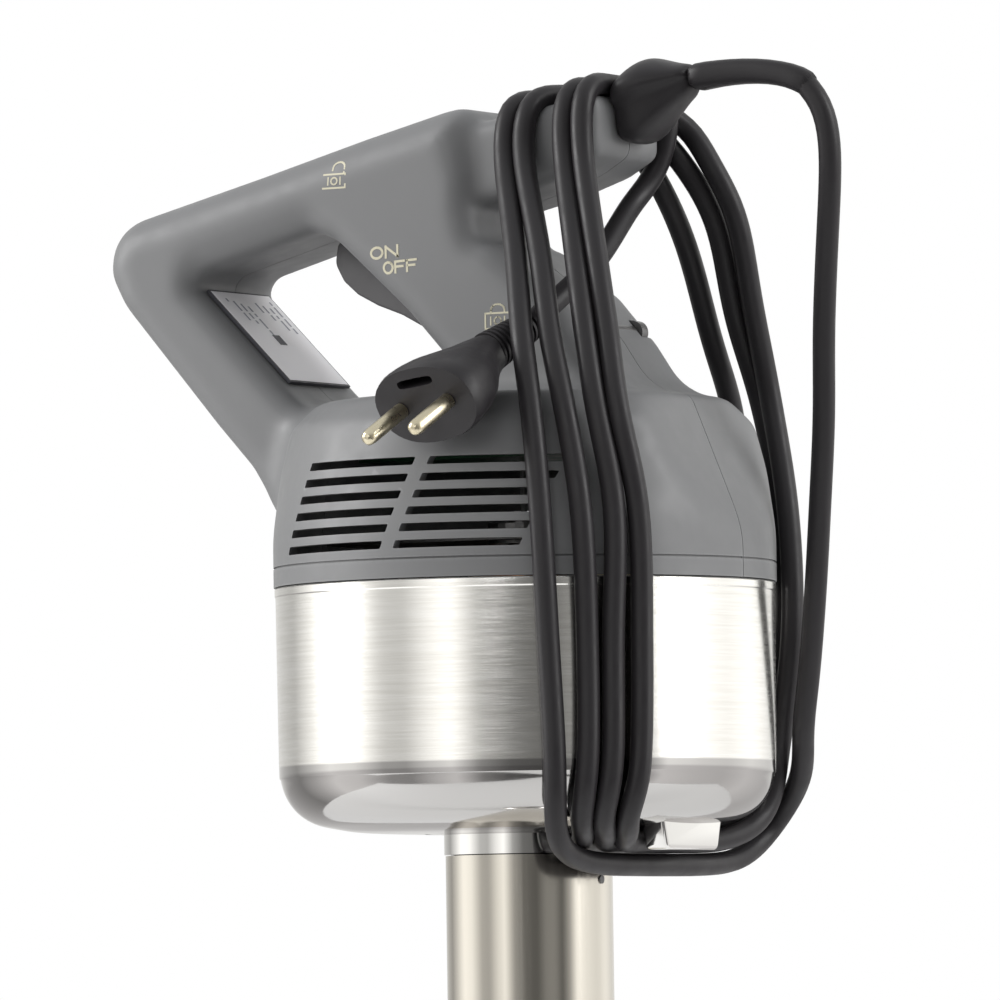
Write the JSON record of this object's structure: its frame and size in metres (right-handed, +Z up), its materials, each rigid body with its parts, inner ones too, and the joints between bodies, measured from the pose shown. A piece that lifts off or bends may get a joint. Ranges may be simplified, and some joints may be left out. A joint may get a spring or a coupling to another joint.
{
  "type": "stick blender",
  "caption": "Hand-held stick blender: steel motor can under a plastic handle with a trigger, on a long tube with a blade in a bell, its mains cord wound round it.",
  "frame": {"origin": "centre of the footprint of the body without its cord, at the level of the bell's rim", "axes": "+Z up along the blending tube, +X towards the cord end of the handle, -Y the side with the switch marks"},
  "size_m": [0.2465, 0.1852, 0.683],
  "materials": {
    "brushed_steel": "satin brushed stainless, brush lines round the can",
    "polished_steel": "mirror polished stainless",
    "tube_steel": "smooth drawn stainless, near mirror",
    "dark_steel": "dark machined steel",
    "grey_plastic": "fine spark-eroded moulded plastic",
    "black_plastic": "satin moulded plastic",
    "black_rubber": "smooth cord sheath with a soft sheen",
    "plate_label": "satin printed plate",
    "brass": "drawn, slightly worn",
    "copper": "enamelled wire and turned copper",
    "carbon": "pressed carbon",
    "board_green": "solder-masked board"
  },
  "bodies": {
    "power_unit": {"motor_can": "brushed_steel", "rim_support_lug": "polished_steel", "tube_collar": "polished_steel", "blade_bell": "polished_steel", "blending_tube": "tube_steel", "lower_bearing": "dark_steel", "lower_bearing_bracket": "dark_steel", "stator_core": "dark_steel", "upper_bearing": "dark_steel", "upper_bearing_bracket": "dark_steel", "housing_screw_1": "dark_steel", "housing_screw_2": "dark_steel", "housing_screw_3": "dark_steel", "housing_screw_4": "dark_steel", "trigger_pin": "dark_steel", "trigger_spring": "dark_steel", "near_housing_half": "grey_plastic", "far_housing_half": "grey_plastic", "cable_connector": "black_plastic", "plug_body": "black_plastic", "filter_capacitor": "black_plastic", "inlet_socket": "black_plastic", "micro_switch": "black_plastic", "shaft_seal": "black_rubber", "strain_relief": "black_rubber", "mains_cord_lead": "black_rubber", "cord_turns_top": "black_rubber", "cord_turns_front": "black_rubber", "cord_turns_under": "black_rubber", "cord_turns_back": "black_rubber", "mains_cord_tail": "black_rubber", "plug_relief": "black_rubber", "rating_plate": "plate_label", "lower_bush": "brass", "upper_bush": "brass", "brush_holder_front": "brass", "brush_holder_rear": "brass", "plug_pin_left": "brass", "plug_pin_right": "brass", "field_winding_near": "copper", "field_winding_far": "copper", "brush_front": "carbon", "brush_rear": "carbon", "speed_control_board": "board_green"},
    "rotor": {"motor_shaft": "dark_steel", "armature_core": "dark_steel", "commutator": "copper", "cooling_fan": "black_plastic", "drive_coupling": "dark_steel"},
    "blade_drive": {"drive_shaft": "dark_steel", "coupling_socket": "dark_steel", "blade": "polished_steel", "blade_nut": "dark_steel"},
    "trigger": {"trigger_lever": "black_plastic"},
    "plunger": {"switch_plunger": "black_plastic"},
    "lock": {"lock_button": "black_plastic"}
  },
  "joints": [
    {"name": "rotor_spin", "type": "hinge", "parent": "power_unit", "child": "rotor", "pos_m": [0.03125, 0, 0.5], "axis": [0, 0, 1], "continuous": true},
    {"name": "blade_spin", "type": "hinge", "parent": "power_unit", "child": "blade_drive", "pos_m": [0.03125, 0, 0.2], "axis": [0, 0, 1], "continuous": true},
    {"name": "trigger_pivot", "type": "hinge", "parent": "power_unit", "child": "trigger", "pos_m": [-0.01125, 0, 0.626], "axis": [0, -1, 0], "range_deg": [0, 8], "stiffness_Nm_per_rad": 0.8, "springref_deg": -6.88},
    {"name": "plunger_slide", "type": "slide", "parent": "power_unit", "child": "plunger", "axis": [0, 0, 1], "range_m": [0, 0.0042]},
    {"name": "lock_press", "type": "slide", "parent": "power_unit", "child": "lock", "axis": [0, -1, 0], "range_m": [0, 0.0025], "stiffness_N_per_m": 400, "springref_m": -0.002}
  ],
  "couplings": [
    {"joint": "blade_spin", "follows": "rotor_spin", "ratio": 1},
    {"joint": "plunger_slide", "follows": "trigger_pivot", "m_per_rad": 0.029}
  ]
}
